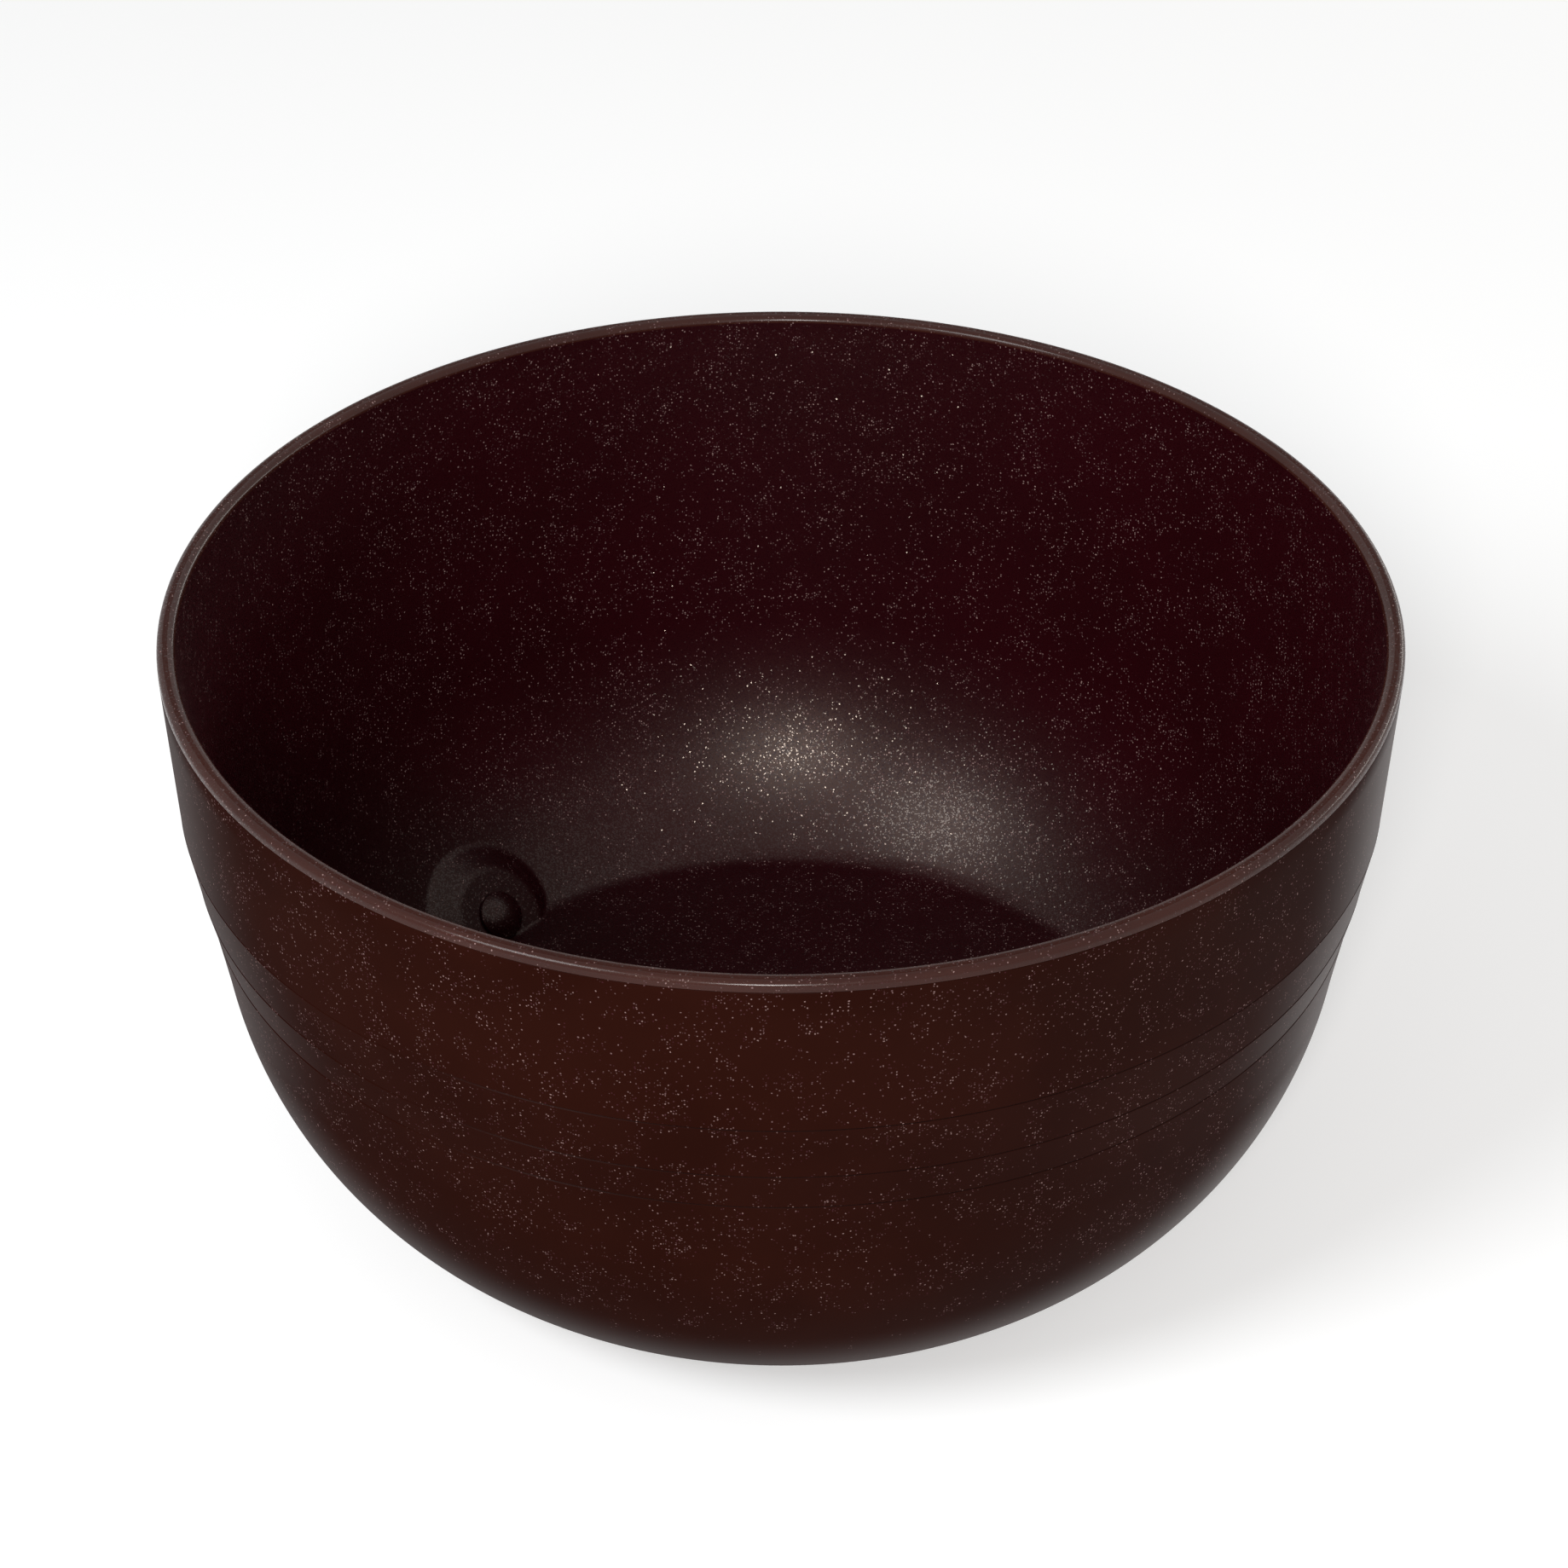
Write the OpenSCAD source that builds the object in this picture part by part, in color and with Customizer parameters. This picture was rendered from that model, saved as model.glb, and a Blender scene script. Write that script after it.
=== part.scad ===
// Cold holding bowl: two coated skins with a cooling gel between them and a plugged fill port.
// Millimetres. The bowl stands on z = 0, the rim is on top, and the front faces -Y.

/* [Bowl] */
// Outer diameter at the rim
rim_d = 300; // [240:1:360]
// Height from the table to the top of the rim
bowl_h = 157.5; // [128:0.5:190]
// Diameter of the base where the belly arc would meet it
base_d = 189; // [150:1:228]
// Rounding between the belly and the base
base_round = 5; // [2:0.5:8]
// Thickness of the two skins
wall_t = 1.2; // [0.8:0.1:1.5]

/* [Rim] */
// Width of the rim across both skins
rim_w = 4.2; // [3.5:0.1:6]
// Rounding of the two rim edges
rim_round = 1.2; // [0.6:0.1:1.6]
// Height of the turned-out rim of the liner
rim_h = 2.6; // [2:0.1:4]
// Hairline seam between the rim and the outer skin
seam_gap = 0.15; // [0.05:0.05:0.3]

/* [Ring lines] */
// Drop of the first ring line below the rim
ring_1_drop = 43; // [34:0.5:50]
// Drop of the second ring line below the rim
ring_2_drop = 58.5; // [53:0.5:63]
// Drop of the third ring line below the rim
ring_3_drop = 69.2; // [66:0.1:75]
// Drop of the line where the belly arc starts
belly_drop = 85.5; // [80:0.5:100]
// Inset of the first ring line from the rim
ring_1_inset = 2.7; // [2:0.1:3.2]
// Inset of the second ring line from the rim
ring_2_inset = 5.6; // [4.6:0.1:6.5]
// Inset of the third ring line from the rim
ring_3_inset = 8.1; // [7.4:0.1:9]
// Inset of the belly line from the rim
belly_inset = 11; // [10:0.1:13]
// Radius of the shallow coves between the ring lines
cove_r = 140; // [115:1:200]
// Width of a ring line
line_w = 0.6; // [0.4:0.1:1]
// Depth of a ring line
line_depth = 0.25; // [0.1:0.05:0.4]
// Lean of the belly arc where it starts
belly_lean = 7.7; // [4:0.1:10]

/* [Liner] */
// Height of the liner floor above the table
floor_z = 13.2; // [11:0.1:16]
// Diameter of the liner floor where the arc would meet it
floor_d = 201.6; // [168:0.1:204]
// Distance from the outside to the inside of the bowl at the belly line
belly_wall = 5.5; // [4.5:0.1:6.6]
// Rounding between the liner wall and its floor
floor_round = 9; // [4:0.5:14]

/* [Fill port] */
// Place of the fill port on the curve of the liner wall, down from level
port_turn = 47.8; // [44:0.1:48]
// Tilt of the fill port from upright towards the middle of the bowl
port_tilt = 50; // [44:0.5:52]
// Direction of the fill port, from +X towards the back
port_az = 138.3; // [0:0.1:360]
// Diameter of the flat face of the boss
boss_d = 24; // [20:0.5:27]
// Height of the face of the boss above the curve of the wall
boss_h = 4; // [3.5:0.1:5]
// Rounding of the edge of the face
boss_round = 4.5; // [2:0.1:6]
// Slope of the side of the boss
boss_slope = 32; // [28:0.5:45]
// Bore of the bush
bore_d = 7; // [5.5:0.1:8.5]
// Wall of the bush neck in the boss roof
neck_wall = 1; // [0.6:0.1:1.6]
// Wall of the bush below the boss roof
bush_wall = 2.2; // [1.5:0.1:3]
// Width of the bush flange under the boss roof
flange_w = 2.8; // [1.5:0.1:3.5]
// Thickness of the bush flange
flange_t = 2; // [1.5:0.1:3]
// Length of the bush below the boss roof
bush_len = 5.6; // [5:0.1:6]

/* [Plug] */
// Overhang of the domed plug head past the bush neck
dome_over = 2; // [0.6:0.1:2.2]
// Height of the domed plug head
dome_h = 3.6; // [3:0.1:5]
// Straight edge of the plug head
dome_edge = 0.8; // [0.5:0.1:1.4]
// Length of the plug stem below the head
stem_len = 6.4; // [5.6:0.1:6.6]
// Diameter of the cord of the O-ring
cord_d = 1.2; // [1:0.1:1.5]
// Distance of the O-ring below the head
cord_drop = 3.6; // [3:0.1:4.2]
// Chamfer at the end of the stem
stem_chamfer = 0.6; // [0.3:0.1:1]

/* [Inside] */
// Empty height under the rim for the gel to swell into
gel_headroom = 18; // [14:0.5:24]
// Length of the seal under the rim
seal_len = 4; // [3:0.1:6]
// Diameter of the spacer ring
spacer_d = 124; // [104:1:148]
// Width of the spacer ring
spacer_w = 6; // [4:0.5:8]
// Height of the spacer ring below its posts
spacer_ring_h = 2.6; // [2:0.1:4]
// Number of spacer posts
post_n = 8; // [6:1:12]
// Diameter of a spacer post
post_d = 5; // [4:0.1:6]

/* [Foot] */
// Middle diameter of the foot ring
foot_d = 164; // [140:1:168]
// Width of the foot ring
foot_w = 9; // [6:0.5:11]
// Thickness of the foot ring
foot_t = 1.5; // [1:0.1:2.5]
// Rounding of the lower edges of the foot ring
foot_round = 0.5; // [0.2:0.1:0.8]

/* [Clearances] */
// Radial clearance of the plug stem in its bush
stem_clear = 0.05; // [0.03:0.01:0.1]
// Clearance of the O-ring in its groove and bore
cord_clear = 0.04; // [0.02:0.01:0.08]
// Radial clearance of the bush neck in the boss roof
neck_clear = 0.05; // [0.03:0.01:0.1]
// Clearance between the gel and the pieces around it
gel_clear = 0.2; // [0.1:0.05:0.4]
// Clearance between the rim seal and the two skins
seal_clear = 0.1; // [0.05:0.05:0.2]

/* [Hidden] */
$fn = 160;
over = 1;
rim_r = rim_d / 2;
base_z = foot_t;
lip_z = bowl_h - rim_h;
shell_top = lip_z - seam_gap;

// Belly arc of the outer skin: leans as asked at its start and passes the base edge
belly_a = [rim_r - belly_inset, bowl_h - belly_drop];
belly_b = [base_d / 2, base_z];
belly_r = arc_radius(belly_a, belly_b, belly_lean);
belly_c = belly_a - belly_r * [cos(belly_lean), -sin(belly_lean)];
base_turn = asin((belly_c[1] - base_z - base_round) / (belly_r - base_round));
base_c = belly_c + (belly_r - base_round) * [cos(base_turn), -sin(base_turn)];

// Belly arc of the liner: carries on from its straight wall and passes the floor edge
liner_top = [rim_r - rim_w, bowl_h];
liner_a = [rim_r - belly_inset - belly_wall, bowl_h - belly_drop];
liner_b = [floor_d / 2, floor_z];
liner_lean = atan((liner_top[0] - liner_a[0]) / (liner_top[1] - liner_a[1]));
liner_r = arc_radius(liner_a, liner_b, liner_lean);
liner_c = liner_a - liner_r * [cos(liner_lean), -sin(liner_lean)];
floor_turn = asin((liner_c[1] - floor_z - floor_round) / (liner_r - floor_round));
floor_c = liner_c + (liner_r - floor_round) * [cos(floor_turn), -sin(floor_turn)];

// Fill port
port_reach = 12;
face = liner_c + (liner_r - boss_h) * [cos(port_turn), -sin(port_turn)];
neck_d = bore_d + 2 * neck_wall;
bush_d = bore_d + 2 * bush_wall;
flange_d = bush_d + 2 * flange_w;
dome_d = neck_d + 2 * dome_over;
stem_d = bore_d - 2 * stem_clear;
groove_d = bore_d - 2 * cord_d - 4 * cord_clear;
groove_w = cord_d + 2 * cord_clear;
cord_r = (bore_d - cord_d) / 2 - cord_clear;
dome_r = (dome_d * dome_d / 4 + pow(dome_h - dome_edge, 2)) / (2 * (dome_h - dome_edge));

// Radius of the arc that leans by a at p and passes q
function arc_radius(p, q, a) =
  let (c = q - p)
  (c * c) / (2 * (c * [-cos(a), sin(a)]));

// Points of an arc about c from angle a to angle b
function arc(c, r, a, b, n) =
  [for (i = [0:n]) c + r * [cos(a + (b - a) * i / n), sin(a + (b - a) * i / n)]];

// Points of a cove between p and q that hollows towards the axis
function cove(p, q) =
  let (m = (p + q) / 2)
  let (h = norm(q - p) / 2)
  let (out = [p[1] - q[1], q[0] - p[0]] / (2 * h))
  let (c = m + sqrt(cove_r * cove_r - h * h) * out)
  let (a = atan2(p[1] - c[1], p[0] - c[0]))
  let (b = atan2(q[1] - c[1], q[0] - c[0]))
  arc(c, cove_r, a < 0 ? a + 360 : a, b < 0 ? b + 360 : b, 5);

// Point on the outside at a drop and inset, with a distance to the middle of a ring line
function at(drop, inset, off = 0) = [rim_r - inset, bowl_h - drop - off];

// Side of the outer skin from the top down to the base, set in by t
function shell_side(t) = concat(
  [[rim_r - t, shell_top]],
  [at(ring_1_drop, ring_1_inset + t)],
  [at(ring_2_drop, ring_2_inset + t)],
  [at(ring_3_drop, ring_3_inset + t)],
  arc(belly_c, belly_r - t, -belly_lean, -base_turn, 24),
  arc(base_c, base_round - t, -base_turn, -90, 6)
);

// Outside of the outer skin with its ring lines and coves
function shell_face() = concat(
  [[rim_r, shell_top]],
  [at(ring_1_drop, ring_1_inset, -line_w / 2)],
  [at(ring_1_drop, ring_1_inset + line_depth)],
  cove(at(ring_1_drop, ring_1_inset, line_w / 2), at(ring_2_drop, ring_2_inset, -line_w / 2)),
  [at(ring_2_drop, ring_2_inset + line_depth)],
  cove(at(ring_2_drop, ring_2_inset, line_w / 2), at(ring_3_drop, ring_3_inset, -line_w / 2)),
  [at(ring_3_drop, ring_3_inset + line_depth)],
  cove(at(ring_3_drop, ring_3_inset, line_w / 2), belly_a),
  [for (i = [1:24]) arc(belly_c, belly_r, -belly_lean, -base_turn, 24)[i]],
  [for (i = [1:6]) arc(base_c, base_round, -base_turn, -90, 6)[i]]
);

// Side of the liner from the rim down to the floor, set out by t
function liner_side(t) = concat(
  [liner_top + [t / cos(liner_lean), 0]],
  arc(liner_c, liner_r + t, -liner_lean, -floor_turn, 24),
  arc(floor_c, floor_round + t, -floor_turn, -90, 8)
);

function reversed(p) = [for (i = [len(p) - 1:-1:0]) p[i]];

// Everything inside the side p, closed to the axis
module filled(p) {
  rotate_extrude()
    polygon(concat(p, [[0, p[len(p) - 1][1]]], [[0, p[0][1]]]));
}

module outer_shell() {
  color("#4a1f1c")
    rotate_extrude()
      polygon(concat(
        shell_face(),
        [[0, base_z]],
        [[0, base_z + wall_t]],
        reversed(shell_side(wall_t))
      ));
}

// Section of the liner skin with its turned-out rim
module liner_section() {
  inner = liner_side(0);
  rim_in = liner_top[0] - rim_round * sin(liner_lean);
  polygon(concat(
    arc([rim_r - rim_round, bowl_h - rim_round], rim_round, 0, 90, 6),
    arc([rim_in + rim_round, bowl_h - rim_round], rim_round, 90, 180, 6),
    [for (i = [1:len(inner) - 1]) inner[i]],
    [[0, floor_z]],
    [[0, floor_z - wall_t]],
    [for (i = [1:len(inner) - 1]) reversed(liner_side(wall_t))[i - 1]],
    [[wall_radius(lip_z) + wall_t / cos(liner_lean), lip_z]],
    [[rim_r, lip_z]]
  ));
}

// Inside radius of the straight liner wall at a height
function wall_radius(z) = liner_top[0] - (bowl_h - z) * tan(liner_lean);

// Puts things at the middle of the face of the boss, with +Z out of the port
module at_port() {
  rotate([0, 0, port_az])
    translate([face[0], 0, face[1]])
      rotate([0, -port_tilt, 0])
        children();
}

// Boss with a flat face, a rounded edge and a sloping side, set in by t
module boss(t) {
  edge = arc([boss_d / 2, -boss_round], boss_round - t, 90 - boss_slope, 90, 5);
  at_port()
    rotate_extrude()
      polygon(concat(
        [[0, -port_reach]],
        [[edge[0][0] + (edge[0][1] + port_reach) / tan(boss_slope), -port_reach]],
        edge,
        [[0, -t]]
      ));
}

module inner_liner() {
  color("#5a2824")
    difference() {
      union() {
        rotate_extrude()
          liner_section();
        intersection() {
          boss(0);
          filled(liner_side(wall_t));
        }
      }
      boss(wall_t);
      at_port()
        translate([0, 0, -2 * wall_t])
          cylinder(d = neck_d + 2 * neck_clear, h = 4 * wall_t);
    }
}

module rim_seal() {
  color("#3a3a3c")
    rotate_extrude()
      polygon([
        [seal_in(lip_z), lip_z],
        [seal_out(lip_z), lip_z],
        [seal_out(lip_z - seal_len), lip_z - seal_len],
        [seal_in(lip_z - seal_len), lip_z - seal_len]
      ]);
}

function seal_in(z) = wall_radius(z) + wall_t / cos(liner_lean) + seal_clear;

function seal_out(z) = rim_r - wall_t - seal_clear
  - (shell_top - min(z, shell_top)) * ring_1_inset / (shell_top - bowl_h + ring_1_drop);

module gel_core() {
  color("#7fb4c8")
    difference() {
      filled(shell_side(wall_t + gel_clear));
      filled(liner_side(wall_t + gel_clear));
      translate([0, 0, bowl_h - gel_headroom])
        cylinder(r = rim_r, h = bowl_h);
      rotate_extrude()
        translate([spacer_d / 2 - spacer_w / 2 - gel_clear, 0])
          square([spacer_w + 2 * gel_clear, base_z + wall_t + spacer_ring_h + gel_clear]);
      posts(post_d + 2 * gel_clear);
      at_port()
        translate([0, 0, -2 * port_reach])
          cylinder(d = flange_d + 2 * gel_clear, h = 2 * port_reach);
    }
}

module posts(d) {
  for (i = [0:post_n - 1])
    rotate([0, 0, i * 360 / post_n])
      translate([spacer_d / 2, 0, base_z + wall_t])
        cylinder(d = d, h = floor_z - 2 * wall_t - base_z);
}

module floor_spacer() {
  color("#d8d4c8") {
    rotate_extrude()
      translate([spacer_d / 2 - spacer_w / 2, base_z + wall_t])
        square([spacer_w, spacer_ring_h]);
    posts(post_d);
  }
}

module port_bush() {
  color("#b08d57")
    at_port()
      difference() {
        union() {
          translate([0, 0, -wall_t - bush_len])
            cylinder(d = bush_d, h = bush_len);
          translate([0, 0, -wall_t - flange_t])
            cylinder(d = flange_d, h = flange_t);
          translate([0, 0, -wall_t - flange_t])
            cylinder(d = neck_d, h = flange_t + wall_t);
        }
        translate([0, 0, -wall_t - bush_len - over])
          cylinder(d = bore_d, h = bush_len + wall_t + 2 * over);
      }
}

module plug_seal() {
  color("#202022")
    at_port()
      translate([0, 0, -cord_drop])
        rotate_extrude()
          translate([cord_r, 0])
            circle(d = cord_d);
}

module fill_plug() {
  color("#6a322c")
    at_port()
      rotate_extrude()
        polygon(concat(
          [[0, -stem_len]],
          [[stem_d / 2 - stem_chamfer, -stem_len]],
          [[stem_d / 2, stem_chamfer - stem_len]],
          [[stem_d / 2, -cord_drop - groove_w / 2]],
          [[groove_d / 2, -cord_drop - groove_w / 2]],
          [[groove_d / 2, -cord_drop + groove_w / 2]],
          [[stem_d / 2, -cord_drop + groove_w / 2]],
          [[stem_d / 2, 0]],
          [[dome_d / 2, 0]],
          arc([0, dome_h - dome_r], dome_r, acos(dome_d / 2 / dome_r), 90, 10)
        ));
}

module foot_ring() {
  color("#1c1c1e")
    rotate_extrude()
      translate([foot_d / 2, 0])
        polygon(concat(
          [[-foot_w / 2, foot_t]],
          arc([-foot_w / 2 + foot_round, foot_round], foot_round, 180, 270, 4),
          arc([foot_w / 2 - foot_round, foot_round], foot_round, 270, 360, 4),
          [[foot_w / 2, foot_t]]
        ));
}

outer_shell();
inner_liner();
rim_seal();
gel_core();
floor_spacer();
port_bush();
plug_seal();
fill_plug();
foot_ring();
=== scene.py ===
import math

import bmesh
import bpy
from mathutils import Matrix, Vector


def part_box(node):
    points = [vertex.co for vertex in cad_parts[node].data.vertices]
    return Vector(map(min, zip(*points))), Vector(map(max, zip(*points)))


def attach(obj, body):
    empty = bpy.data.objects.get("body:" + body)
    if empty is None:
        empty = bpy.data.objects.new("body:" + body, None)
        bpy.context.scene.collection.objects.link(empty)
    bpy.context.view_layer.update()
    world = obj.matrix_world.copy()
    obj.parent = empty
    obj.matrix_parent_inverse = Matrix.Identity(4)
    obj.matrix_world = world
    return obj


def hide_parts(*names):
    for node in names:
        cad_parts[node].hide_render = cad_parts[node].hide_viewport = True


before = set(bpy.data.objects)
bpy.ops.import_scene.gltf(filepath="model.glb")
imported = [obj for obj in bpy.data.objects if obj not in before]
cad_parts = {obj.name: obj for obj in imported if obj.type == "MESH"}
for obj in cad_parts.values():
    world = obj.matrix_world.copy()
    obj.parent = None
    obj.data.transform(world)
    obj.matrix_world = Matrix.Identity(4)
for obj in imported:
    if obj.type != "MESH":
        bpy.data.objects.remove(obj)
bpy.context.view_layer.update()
mm = 0.001
print("frame loaded:", sorted(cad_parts))


# outlines: drawn in the XZ plane, then turned about Z
class Outline:
    def __init__(self, x, z):
        self.bm = bmesh.new()
        self.tip = self.bm.verts.new((x, 0, z))

    def line(self, x, z, cuts=0):  # straight run to a point, with extra points on the way
        start = self.tip.co.copy()
        for i in range(1, cuts + 2):
            grown = bmesh.ops.extrude_vert_indiv(self.bm, verts=[self.tip])
            self.tip = grown["verts"][0]
            self.tip.co = start.lerp(Vector((x, 0, z)), i / (cuts + 1))
        return self

    def bend(self, x, z, radius, steps):  # arc to a point, turning left for a positive radius
        a, b = self.tip.co.copy(), Vector((x, 0, z))
        half = (b - a) / 2
        left = Vector((-half.z, 0, half.x)).normalized() * math.copysign(1, radius)
        centre = a + half + left * math.sqrt(max(radius ** 2 - half.length_squared, 0))
        turn = 2 * math.asin(min(half.length / abs(radius), 1))
        swept = bmesh.ops.spin(
            self.bm, geom=[self.tip], cent=centre, axis=(0, math.copysign(1, -radius), 0),
            angle=turn, steps=steps, use_duplicate=False)
        self.tip = [v for v in swept["geom_last"] if isinstance(v, bmesh.types.BMVert)][0]
        self.tip.co = b
        return self

    def turned(self, steps, place=None):  # full spin about Z, then put in place
        bm = self.bm
        bmesh.ops.spin(
            bm, geom=bm.verts[:] + bm.edges[:], cent=(0, 0, 0), axis=(0, 0, 1),
            angle=2 * math.pi, steps=steps, use_merge=True, use_duplicate=False)
        bmesh.ops.remove_doubles(bm, verts=bm.verts, dist=1e-6)
        if place:
            bmesh.ops.transform(bm, matrix=place, verts=bm.verts)
        bmesh.ops.recalc_face_normals(bm, faces=bm.faces)
        return bm


def arcThrough(a, b, lean):  # radius and centre of the arc that leans at a and passes b
    c = (b[0] - a[0], b[1] - a[1])
    radius = (c[0] ** 2 + c[1] ** 2) / (2 * (-c[0] * math.cos(lean) + c[1] * math.sin(lean)))
    return radius, (a[0] - radius * math.cos(lean), a[1] + radius * math.sin(lean))


def corner(centre, radius, level, rounding):  # where a rounding leaves an arc for a level face
    turn = math.asin((centre[1] - level - rounding) / (radius - rounding))
    reach = radius - rounding
    middle = (centre[0] + reach * math.cos(turn), centre[1] - reach * math.sin(turn))
    return turn, middle


def onArc(centre, radius, turn):  # point on an arc, turned down from level
    return centre[0] + radius * math.cos(turn), centre[1] - radius * math.sin(turn)


def piece(name, bm, body, node, paint, crease=40):
    mesh = bpy.data.meshes.new(name)
    bm.to_mesh(mesh)
    bm.free()
    for face in mesh.polygons:
        face.use_smooth = True
    mesh.set_sharp_from_angle(angle=math.radians(crease))
    made = bpy.data.objects.new(name, mesh)
    bpy.context.scene.collection.objects.link(made)
    mesh.materials.append(paint)
    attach(made, body)
    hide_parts(node)
    return made


# shader maths: a wire is a socket that adds its Math nodes by itself
class Wire:
    def __init__(self, tree, socket):
        self.tree, self.socket = tree, socket

    def maths(self, operation, first, second):
        step = self.tree.nodes.new("ShaderNodeMath")
        step.operation = operation
        plug(self.tree, step.inputs[0], first)
        plug(self.tree, step.inputs[1], second)
        return Wire(self.tree, step.outputs[0])

    def __add__(self, other):
        return self.maths("ADD", self, other)

    def __radd__(self, other):
        return self.maths("ADD", other, self)

    def __sub__(self, other):
        return self.maths("SUBTRACT", self, other)

    def __rsub__(self, other):
        return self.maths("SUBTRACT", other, self)

    def __mul__(self, other):
        return self.maths("MULTIPLY", self, other)

    def __rmul__(self, other):
        return self.maths("MULTIPLY", other, self)

    def __gt__(self, other):
        return self.maths("GREATER_THAN", self, other)

    def __lt__(self, other):
        return self.maths("LESS_THAN", self, other)


def plug(tree, slot, value):
    if isinstance(value, Wire):
        tree.links.new(value.socket, slot)
    else:
        slot.default_value = value


class Paint:
    def __init__(self, name):
        self.material = bpy.data.materials.new(name)
        self.material.use_nodes = True
        self.tree = self.material.node_tree
        self.tree.nodes.clear()
        self.shader = self.tree.nodes.new("ShaderNodeBsdfPrincipled")
        end = self.tree.nodes.new("ShaderNodeOutputMaterial")
        self.tree.links.new(self.shader.outputs[0], end.inputs["Surface"])
        self.place = self.node("ShaderNodeTexCoord", out="Object")

    def node(self, kind, settings=None, sockets=None, out=0):
        made = self.tree.nodes.new(kind)
        for key, value in (settings or {}).items():
            setattr(made, key, value)
        for key, value in (sockets or {}).items():
            plug(self.tree, made.inputs[key], value)
        return Wire(self.tree, made.outputs[out])

    def noise(self, size, detail=2.0, rough=0.5):  # size of its features, in metres
        return self.node("ShaderNodeTexNoise", None, {
            "Vector": self.place, "Scale": 1 / size, "Detail": detail, "Roughness": rough})

    def part(self, value, axis):  # one of the three numbers of a vector or colour
        return self.node("ShaderNodeSeparateXYZ", None, {"Vector": value}, out=axis)

    def ramp(self, value, low, high, start=0.0, end=1.0):  # smooth step between two values
        return self.node("ShaderNodeMapRange", {"interpolation_type": "SMOOTHSTEP"}, {
            "Value": value, "From Min": low, "From Max": high, "To Min": start, "To Max": end})

    def blend(self, factor, first, second):  # mix of two colours
        return self.node("ShaderNodeMix", {"data_type": "RGBA"}, {
            "Factor": factor, 6: first, 7: second}, out=2)

    def vector(self, operation, first, second):
        key = "Scale" if operation == "SCALE" else 1
        return self.node("ShaderNodeVectorMath", {"operation": operation}, {0: first, key: second})

    def bump(self, height, depth, strength=1.0, normal=None):
        sockets = {"Height": height, "Distance": depth, "Strength": strength}
        if normal:
            sockets["Normal"] = normal
        return self.node("ShaderNodeBump", None, sockets)

    def set(self, **values):  # underscores stand for spaces in socket names
        for key, value in values.items():
            plug(self.tree, self.shader.inputs[key.replace("_", " ")], value)
        return self.material


def rgb(r, g, b):  # screen colour, 0 to 255, as linear light
    def lin(c):
        c /= 255
        return c / 12.92 if c <= 0.04045 else ((c + 0.055) / 1.055) ** 2.4
    return lin(r), lin(g), lin(b), 1.0


# speckled coat of the skins and the plug
coat = {
    "fleckDim": rgb(60, 28, 33),
    "fleckLight": rgb(152, 124, 120),
    "cell": 0.60 * mm,      # one fleck or none in each cell
    "fleckSize": (0.18, 0.42),
    "stir": (0.7 * mm, 0.4 * mm),  # size and reach of what breaks up the flecks
    "cluster": 7 * mm,
    "cloud": 40 * mm,       # slow change of the ground
    "grain": 0.31 * mm,     # flakes under the gloss that sparkle
    "facets": 0.64,         # a cell holds a flake where its draw is above this
    "tilt": 0.64,
    "roughness": 0.38,
    "glint": 0.13,
    "warm": (1.0, 0.84, 0.72, 1.0),
    "peel": (1.6 * mm, 0.015 * mm),  # size and depth of the orange peel
    # painted shade: a dark line painted along each ring groove, where shadow falls in it
    "line": rgb(24, 10, 8),
    "grooveShadeHalf": 0.14 * mm,
    "grooveShadeFade": (-90 * mm, 10 * mm, 0.2, 0.9),  # painted groove shade, fainter on the left where the side lamp lights the grooves
}
outerCoat = {
    # the brown ground is partly the coat's own colour and partly a painted reflection of a brown floor; the
    # inside coat is darker maroon
    "name": "outer_coat", "ground": rgb(39, 13, 7), "deep": rgb(35, 10, 5),
    "flecks": 0.82, "glitter": 0.8, "bare": (12 * mm, 60 * mm),
    # heights of the ring grooves that get painted shade
    "lines": (114.5 * mm, 99.0 * mm, 88.3 * mm),
    "gloss": 0.0, "sheen": (0.64, 0.93, 0.035, 0.24), "film": 0.30,
    # painted sheen: the satin grows stronger towards the right side, standing in for brighter surroundings
    # reflected there
    "paintedRightSheen": (-30 * mm, 130 * mm, 0.9, 2.2),
}
innerCoat = {
    "name": "inner_coat", "ground": rgb(35, 1, 6), "deep": rgb(32, 1, 5), "flecks": 0.77,
    "gloss": 0.20, "film": 0.38, "clear": 0.24,
}
rimCoat = {
    # the lighter tan ground is partly a painted reflection of the surroundings on the rim top, over the coat's
    # own maroon
    "name": "rim_coat", "ground": rgb(56, 26, 20), "deep": rgb(50, 22, 17), "flecks": 0.80,
    "gloss": 0.05, "edges": (0.3, 147.3 * mm, 148.5 * mm), "film": 0.18,
}
plugCoat = {
    "name": "plug_coat", "ground": rgb(35, 1, 6), "deep": rgb(32, 1, 5), "flecks": 0.77,
    "gloss": 0.20, "film": 0.38, "clear": 0.24,
}


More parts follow.
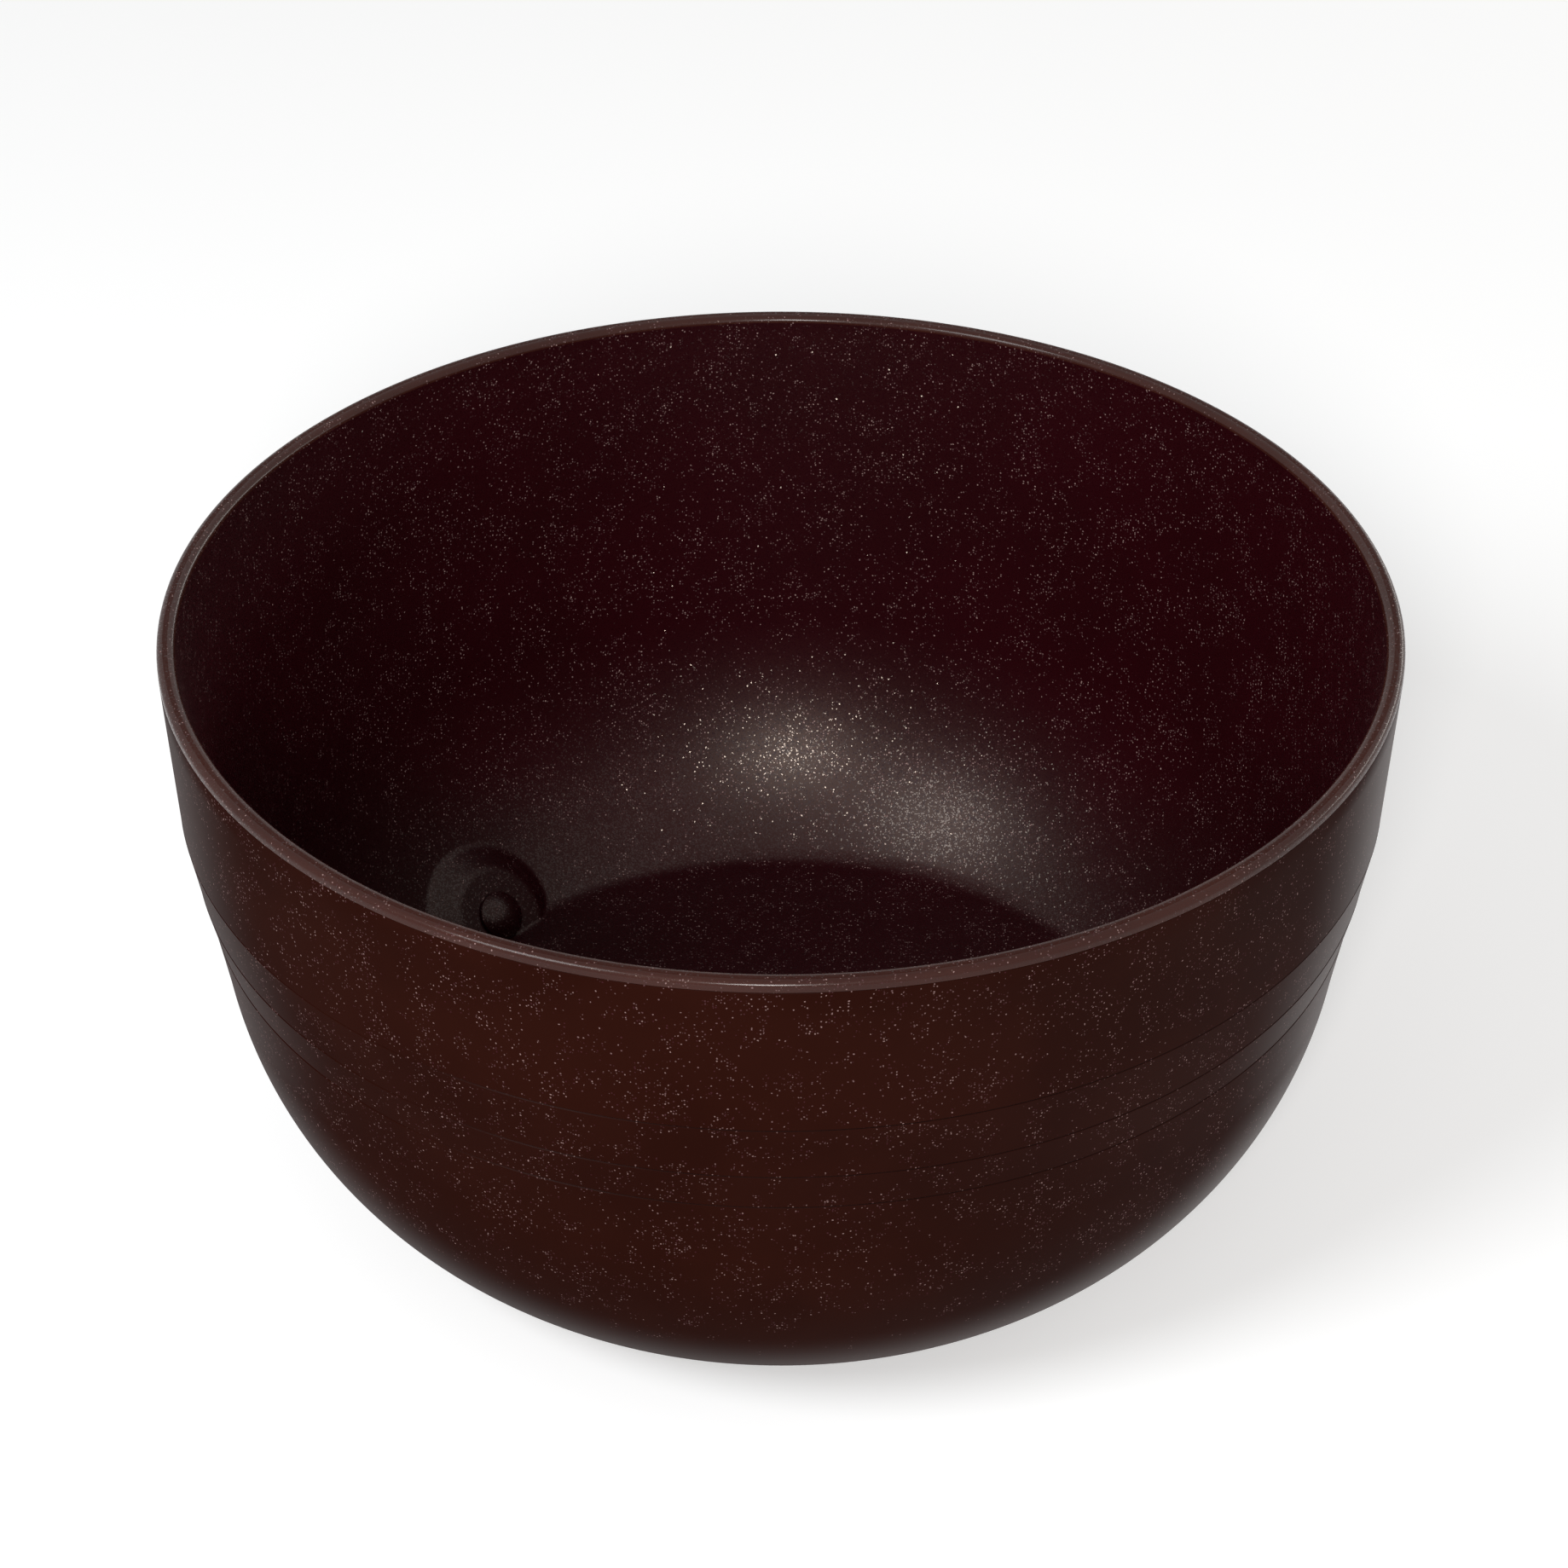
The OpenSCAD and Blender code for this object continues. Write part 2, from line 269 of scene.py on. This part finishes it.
def coatPaint(own):
    p = Paint(own["name"])
    x, y, z = (p.part(p.place, axis) for axis in "XYZ")
    size, reach = coat["stir"]
    stir = p.node("ShaderNodeTexNoise", None, {"Vector": p.place, "Scale": 1 / size, "Detail": 1.0}, out="Color")
    where = p.vector("ADD", p.place, p.vector("SCALE", stir, reach))
    cells = {"Vector": where, "Scale": 1 / coat["cell"]}
    toMiddle = p.node("ShaderNodeTexVoronoi", None, cells, out="Distance")
    lot = p.node("ShaderNodeTexVoronoi", None, cells, out="Color")
    draw, shade = p.part(lot, "X"), p.part(lot, "Y")
    small, large = coat["fleckSize"]
    dot = 1 - p.ramp(toMiddle, small, large)
    crowd = (p.noise(coat["cluster"], 2.0, 0.6) - 0.5) * 2.0
    if "bare" in own:  # few flecks towards the foot
        crowd = crowd + p.ramp(z, *own["bare"], -0.5, 0.0)
    fleck = dot * (draw + crowd > own["flecks"])
    base = p.blend(p.ramp(p.noise(coat["cloud"], 3.0), 0.35, 0.65), own["deep"], own["ground"])
    light = shade * shade * own.get("glitter", 1.0)
    base = p.blend(fleck, base, p.blend(light, coat["fleckDim"], coat["fleckLight"]))
    for level in own.get("lines", ()):  # painted shade along the ring grooves, fading towards the left
        groove = p.node("ShaderNodeMath", {"operation": "COMPARE"}, {0: z, 1: level, 2: coat["grooveShadeHalf"]})
        base = p.blend(groove * p.ramp(x, *coat["grooveShadeFade"]), base, coat["line"])
    film = 0.0
    rough, normal = coat["roughness"], p.node("ShaderNodeNewGeometry", out="Normal")
    if own["gloss"]:
        facet = p.node("ShaderNodeTexVoronoi", None, {"Vector": p.place, "Scale": 1 / coat["grain"]}, out="Color")
        shiny = p.part(facet, "Z") > coat["facets"]
        toss = p.node("ShaderNodeTexWhiteNoise", None, {"Vector": facet}, out="Color")
        aside = p.vector("SUBTRACT", toss, (0.5, 0.5, 0.5))
        lean = p.vector("SCALE", aside, shiny * p.part(facet, "X") * coat["tilt"])
        normal = p.vector("NORMALIZE", p.vector("ADD", normal, lean), (0, 0, 0))
        rough = rough - shiny * (rough - coat["glint"])
        film = shiny * own.get("clear", 0.0)  # the gloss runs on over a flake
    if "sheen" in own:  # satin that shows at a slant
        slant = p.node("ShaderNodeLayerWeight", None, {"Blend": 0.5}, out="Facing")
        # painted sheen: the satin is raised towards the right side
        film = p.ramp(slant, *own["sheen"]) * p.ramp(x, *own["paintedRightSheen"])
    if "edges" in own:  # handled edges of the rim are smoother
        polish, inner, outer = own["edges"]
        away = p.node("ShaderNodeMath", {"operation": "SQRT"}, {0: x * x + y * y})
        film = ((inner > away) + (away > outer)) * polish
    size, depth = coat["peel"]
    return p.set(
        Base_Color=base, Roughness=rough, Specular_IOR_Level=own["gloss"], Specular_Tint=coat["warm"],
        Normal=p.bump(p.noise(size, 3.0, 0.6), depth, 0.5, normal),
        Coat_Weight=film, Coat_Roughness=own["film"], Coat_IOR=1.5)


outerPaint, innerPaint = coatPaint(outerCoat), coatPaint(innerCoat)
rimPaint, plugPaint = coatPaint(rimCoat), coatPaint(plugCoat)
print("coats mixed")


# sizes that the two skins share, from the frame where it gives them
bowl = {
    "rim": min(abs(v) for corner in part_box("inner_liner") for v in corner.xy),
    "height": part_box("inner_liner")[1].z,
    "foot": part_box("outer_shell")[0].z,
    "seamTop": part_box("rim_seal")[1].z,
    "shellTop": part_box("outer_shell")[1].z,
    "floor": 13.2 * mm,
    "wall": 1.2 * mm,
    "rimWidth": 4.2 * mm,
    "rimRound": 1.7 * mm,
    "bellyDrop": 85.5 * mm,
    "bellyInset": 11.0 * mm,
    "bellyLean": math.radians(7.7),
    "bellyWall": 5.5 * mm,
    "baseRadius": 94.5 * mm,
    "baseRound": 5.0 * mm,
    "floorRadius": 100.8 * mm,
    "floorRound": 9.0 * mm,
    "floorMiddle": 60 * mm,  # coarser mesh within this radius
    "rimPaint": 0.9 * mm,   # the rim's coat runs on below its rounding
    "turns": 256,
}

# outer skin
shell = {
    "rings": ((43.0 * mm, 2.7 * mm), (58.5 * mm, 5.6 * mm), (69.2 * mm, 8.1 * mm)),  # drop and inset
    "lineWidth": 0.45 * mm,
    "lineDepth": 0.22 * mm,
    "coveRadius": 900 * mm,
    "edge": 0.2 * mm,
}


def makeShell():
    rim, top, foot, wall = bowl["rim"], bowl["height"], bowl["foot"], bowl["wall"]
    start = (rim - bowl["bellyInset"], top - bowl["bellyDrop"])
    radius, centre = arcThrough(start, (bowl["baseRadius"], foot), bowl["bellyLean"])
    turn, middle = corner(centre, radius, foot, bowl["baseRound"])
    o = Outline(0, foot)
    o.line(middle[0], foot, 3)
    o.bend(*onArc(middle, bowl["baseRound"], turn), bowl["baseRound"], 8)
    o.bend(*start, radius, 40)
    half, deep = shell["lineWidth"] / 2, shell["lineDepth"]
    for drop, inset in reversed(shell["rings"]):
        o.bend(rim - inset, top - drop - half, -shell["coveRadius"], 8)
        o.line(rim - inset - deep, top - drop)
        o.line(rim - inset, top - drop + half)
    o.line(rim - shell["edge"] * 0.06, bowl["shellTop"] - shell["edge"], 6)
    o.bend(rim - shell["edge"], bowl["shellTop"], shell["edge"], 3)
    o.line(rim - wall, bowl["shellTop"])
    for drop, inset in shell["rings"]:
        o.line(rim - inset - wall, top - drop)
    o.line(*onArc(centre, radius - wall, bowl["bellyLean"]))
    o.bend(*onArc(centre, radius - wall, turn), wall - radius, 32)
    o.bend(middle[0], foot + wall, wall - bowl["baseRound"], 6)
    o.line(0, foot + wall, 3)
    return o.turned(bowl["turns"])


outerShell = piece("outerShell", makeShell(), "bowl", "outer_shell", outerPaint, 30)
print("outer skin turned:", len(outerShell.data.polygons), "faces")

# inner skin with the boss that carries the fill port
port = {
    "bearing": math.radians(138.3),
    "turn": math.radians(47.8),   # place on the curve of the wall, down from level
    "tilt": math.radians(50),     # from upright, towards the middle
    "height": 4.0 * mm,     # above the curve
    "flat": 12.0 * mm,      # radius of the flat face
    "round": 4.5 * mm,      # rounding of its edge
    "slope": math.radians(32),
    "blend": 0.9 * mm,
    "neck": 9.1 * mm,
    "window": 32 * mm,      # finer mesh within this distance
    "cuts": 4,
    "drill": 7 * mm,        # length of the bit
}


def linerArc():  # start, lean, radius and centre of the curve of the inner skin
    start = (bowl["rim"] - bowl["bellyInset"] - bowl["bellyWall"], bowl["height"] - bowl["bellyDrop"])
    lean = math.atan((bowl["rim"] - bowl["rimWidth"] - start[0]) / bowl["bellyDrop"])
    return start, lean, *arcThrough(start, (bowl["floorRadius"], bowl["floor"]), lean)


def portPlace():  # middle of the face of the boss, with Z square to the face
    start, lean, radius, centre = linerArc()
    reach, z = onArc(centre, radius - port["height"], port["turn"])
    level, az = math.sin(port["tilt"]), port["bearing"]
    axis = Vector((-level * math.cos(az), -level * math.sin(az), math.cos(port["tilt"])))
    middle = Vector((reach * math.cos(az), reach * math.sin(az), z))
    return Matrix.Translation(middle) @ axis.to_track_quat("Z", "Y").to_matrix().to_4x4()


port["place"] = portPlace()


def smoothMax(a, b, blend):
    h = max(blend - abs(a - b), 0) / blend
    return max(a, b) + h * h * blend / 4


def bossHeight(away, inset=0):  # below the face, at a distance from the axis of the port
    edge, bend = max(away - port["flat"], 0), port["round"] - inset
    limit = bend * math.sin(port["slope"])
    fall = bend - math.sqrt(bend ** 2 - min(edge, limit) ** 2)
    return -inset - fall - max(edge - limit, 0) * math.tan(port["slope"])


def raiseBoss(bm):
    place = port["place"]
    toPort, axis = place.inverted(), place.to_3x3().col[2]

    def near(v):
        return (v.co - place.translation).length < port["window"]

    edges = [e for e in bm.edges if near(e.verts[0]) and near(e.verts[1])]
    bmesh.ops.subdivide_edges(bm, edges=edges, cuts=port["cuts"], use_grid_fill=True)
    bm.normal_update()
    for v in filter(near, bm.verts):
        at = toPort @ v.co
        if v.normal.dot(axis) > 0:  # food side
            v.co += axis * (smoothMax(at.z, bossHeight(at.xy.length), port["blend"]) - at.z)
        else:                       # gel side
            v.co += axis * max(bossHeight(at.xy.length, bowl["wall"]) - at.z, 0)
    bmesh.ops.recalc_face_normals(bm, faces=bm.faces)


def makeLiner():
    rim, top, floor, wall = bowl["rim"], bowl["height"], bowl["floor"], bowl["wall"]
    edge, width = bowl["rimRound"], bowl["rimWidth"]
    start, lean, radius, centre = linerArc()
    turn, middle = corner(centre, radius, floor, bowl["floorRound"])
    inside = rim - width - edge * math.sin(lean)
    o = Outline(rim, bowl["seamTop"])
    o.line(rim, top - edge)
    o.bend(rim - edge, top, edge, 8)
    o.line(inside + edge, top)
    o.bend(inside, top - edge, edge, 8)
    o.line(*start, 12)
    o.bend(*onArc(centre, radius, turn), -radius, 40)
    o.bend(middle[0], floor, -bowl["floorRound"], 10)
    o.line(bowl["floorMiddle"], floor, 18)
    o.line(0, floor, 4)
    o.line(0, floor - wall)
    o.line(bowl["floorMiddle"], floor - wall, 4)
    o.line(middle[0], floor - wall, 18)
    o.bend(*onArc(middle, bowl["floorRound"] + wall, turn), bowl["floorRound"] + wall, 10)
    o.bend(*onArc(centre, radius + wall, lean), radius + wall, 40)
    o.line(rim - width - edge * 2 * math.tan(lean) + wall, bowl["seamTop"], 2)
    o.line(rim, bowl["seamTop"])
    bm = o.turned(bowl["turns"])
    raiseBoss(bm)
    return bm


def drill(target, size, place, depth):  # round hole along Z of a place
    bm = bmesh.new()
    bmesh.ops.create_cone(
        bm, cap_ends=True, segments=72, radius1=size / 2, radius2=size / 2, depth=depth, matrix=place)
    mesh = bpy.data.meshes.new("bit")
    bm.to_mesh(mesh)
    bm.free()
    bit = bpy.data.objects.new("bit", mesh)
    bpy.context.scene.collection.objects.link(bit)
    cut = target.modifiers.new("hole", "BOOLEAN")
    cut.object, cut.operation, cut.solver = bit, "DIFFERENCE", "EXACT"
    graph = bpy.context.evaluated_depsgraph_get()
    done = bpy.data.meshes.new_from_object(target.evaluated_get(graph))
    target.modifiers.remove(cut)
    target.data = done
    bpy.data.objects.remove(bit)


innerLiner = piece("innerLiner", makeLiner(), "bowl", "inner_liner", innerPaint, 50)
# faces at the rim take the rim coat, whose lighter ground is partly painted reflection
innerLiner.data.materials.append(rimPaint)
rimLine = bowl["height"] - bowl["rimRound"] - bowl["rimPaint"]
for face in innerLiner.data.polygons:
    face.material_index = int(face.center.z > rimLine)
drill(innerLiner, port["neck"], port["place"], port["drill"])
print("inner skin turned:", len(innerLiner.data.polygons), "faces")

# domed plug
plugSizes = {
    "head": 13.0 * mm, "headHeight": 3.6 * mm, "headEdge": 0.8 * mm, "edgeRound": 0.3 * mm,
    "stem": 6.9 * mm, "stemLength": 6.4 * mm, "chamfer": 0.6 * mm,
    "groove": 4.44 * mm, "grooveWidth": 1.28 * mm, "grooveDrop": 3.6 * mm,
}


def makePlug():
    s, stem, groove = plugSizes, plugSizes["stem"] / 2, plugSizes["groove"] / 2
    r, rise = s["head"] / 2, s["headHeight"] - s["headEdge"]
    crown = (r * r + rise * rise) / (2 * rise)
    low, high = (side * s["grooveWidth"] / 2 - s["grooveDrop"] for side in (-1, 1))
    brow = r - s["edgeRound"]
    o = Outline(0, -s["stemLength"])
    o.line(stem - s["chamfer"], -s["stemLength"])
    o.line(stem, s["chamfer"] - s["stemLength"])
    o.line(stem, low)
    o.line(groove, low)
    o.line(groove, high)
    o.line(stem, high)
    o.line(stem, 0)
    o.line(brow, 0)
    o.bend(r, s["edgeRound"], s["edgeRound"], 4)
    o.line(r, s["headEdge"] - s["edgeRound"])
    o.bend(brow, s["headHeight"] - crown + math.sqrt(crown ** 2 - brow ** 2), 2 * s["edgeRound"], 4)
    o.bend(0, s["headHeight"], crown, 24)
    return o.turned(72, port["place"])


fillPlug = piece("fillPlug", makePlug(), "plug", "fill_plug", plugPaint, 40)
print("plug turned")


# inner pieces keep their CAD shapes
def rubberPaint(name, colour, size):
    p = Paint(name)
    grain = p.noise(size, 4.0)
    shade = tuple(c * 1.7 for c in colour[:3]) + (1.0,)
    return p.set(
        Base_Color=p.blend(grain, colour, shade), Roughness=p.ramp(grain, 0.2, 0.8, 0.7, 0.9),
        Normal=p.bump(grain, 0.06 * mm, 0.6))


def gelPaint(name):
    p = Paint(name)
    cloud = p.noise(14 * mm, 3.0)
    return p.set(
        Base_Color=p.blend(cloud, rgb(120, 176, 196), rgb(160, 205, 216)),
        Roughness=p.ramp(cloud, 0.3, 0.7, 0.2, 0.35),
        Subsurface_Weight=0.3, Subsurface_Scale=4 * mm)


def plasticPaint(name):
    p = Paint(name)
    grain = p.noise(0.8 * mm, 3.0)
    return p.set(
        Base_Color=p.blend(grain, rgb(214, 209, 196), rgb(226, 222, 210)),
        Roughness=p.ramp(grain, 0.3, 0.7, 0.5, 0.62), Normal=p.bump(grain, 0.02 * mm, 0.4))


def brassPaint(name):
    p = Paint(name)
    drawn = p.node("ShaderNodeMapping", None, {"Vector": p.place, "Scale": (1, 1, 12)})
    turned = p.node("ShaderNodeTexNoise", None, {"Vector": drawn, "Scale": 900.0})
    return p.set(
        Base_Color=p.blend(turned, rgb(168, 132, 70), rgb(196, 160, 92)), Metallic=1.0,
        Roughness=p.ramp(turned, 0.3, 0.7, 0.28, 0.42), Normal=p.bump(turned, 0.01 * mm, 0.3))


insidePaints = {
    "rim_seal": rubberPaint("seal_rubber", rgb(30, 28, 28), 0.9 * mm),
    "plug_seal": rubberPaint("cord_rubber", rgb(20, 20, 20), 0.5 * mm),
    "foot_ring": rubberPaint("foot_rubber", rgb(26, 25, 25), 0.7 * mm),
    "gel_core": gelPaint("cooling_gel"),
    "floor_spacer": plasticPaint("spacer_plastic"),
    "port_bush": brassPaint("bush_brass"),
}
for name, paint in insidePaints.items():
    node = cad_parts[name]
    node.data.materials.clear()
    node.data.materials.append(paint)
print("inner pieces painted")

# studio: pale floor, white surroundings, soft lamps
studio = {
    "floorSize": 8.0,
    "floor": (0.86, 0.86, 0.86, 1.0),
    "floorLift": 0.32,      # brings the open floor to white where it is seen
    "sky": 0.34,            # on the object; what is seen is white
}
lamps = {  # direction and height in degrees, distance, width and length in metres, watts, colour
    "front": (-93, 29, 1.8, 0.32, 0.32, 17.0, (1.0, 0.98, 0.96)),
    "left": (-137, 41, 2.0, 0.80, 0.80, 21.0, (0.95, 0.98, 1.0)),
    "strip": (34, 9, 1.9, 2.40, 0.16, 10.0, (1.0, 0.97, 0.92)),
}


def seenRays(tree):  # rays that show the surroundings
    path = tree.nodes.new("ShaderNodeLightPath")
    kinds = ("Camera", "Glossy", "Transmission")
    camera, glossy, clear = (Wire(tree, path.outputs[f"Is {kind} Ray"]) for kind in kinds)
    return camera + glossy + clear


def makeStudio():
    bm = bmesh.new()
    bmesh.ops.create_grid(bm, x_segments=1, y_segments=1, size=studio["floorSize"] / 2)
    mesh = bpy.data.meshes.new("floor")
    bm.to_mesh(mesh)
    bm.free()
    floor = bpy.data.objects.new("floor", mesh)
    bpy.context.scene.collection.objects.link(floor)
    p = Paint("floor_white")
    mesh.materials.append(p.set(
        Base_Color=studio["floor"], Roughness=0.9, Specular_IOR_Level=0.0,
        Emission_Color=seenRays(p.tree), Emission_Strength=studio["floorLift"]))
    world = bpy.data.worlds.new("sky")
    world.use_nodes = True
    bpy.context.scene.world = world
    tree = world.node_tree
    back = tree.nodes["Background"]
    back.inputs["Color"].default_value = (1, 1, 1, 1)
    plug(tree, back.inputs["Strength"], studio["sky"] + (1 - studio["sky"]) * seenRays(tree))
    rim = Vector((0, 0, bowl["height"]))
    for name, (bearing, height, far, width, length, watts, colour) in lamps.items():
        data = bpy.data.lights.new(name, "AREA")
        data.shape = "ELLIPSE"
        data.energy, data.size, data.size_y, data.color = watts, width, length, colour
        lamp = bpy.data.objects.new(name, data)
        az, up = math.radians(bearing), math.radians(height)
        away = Vector((math.cos(up) * math.cos(az), math.cos(up) * math.sin(az), math.sin(up)))
        lamp.location = rim + far * away
        lamp.rotation_euler = (-away).to_track_quat("-Z", "Y").to_euler()
        bpy.context.scene.collection.objects.link(lamp)


# camera fitted to the photograph
view = {
    "distance": 8.015,      # from the middle of the rim, in rim radii
    "height": math.radians(32.418),
    "pitch": math.radians(34.401),
    "lens": 114.35,
    "shift": 0.00199,
}


def makeCamera():
    data = bpy.data.cameras.new("camera")
    data.sensor_width, data.lens, data.shift_x = 36.0, view["lens"], view["shift"]
    camera = bpy.data.objects.new("camera", data)
    far = view["distance"] * bowl["rim"]
    camera.location = (0, -far * math.cos(view["height"]), bowl["height"] + far * math.sin(view["height"]))
    camera.rotation_euler = (math.pi / 2 - view["pitch"], 0, 0)
    bpy.context.scene.collection.objects.link(camera)
    bpy.context.scene.camera = camera


makeStudio()
makeCamera()
bpy.context.scene.view_settings.view_transform = "Standard"
print("studio and camera set")
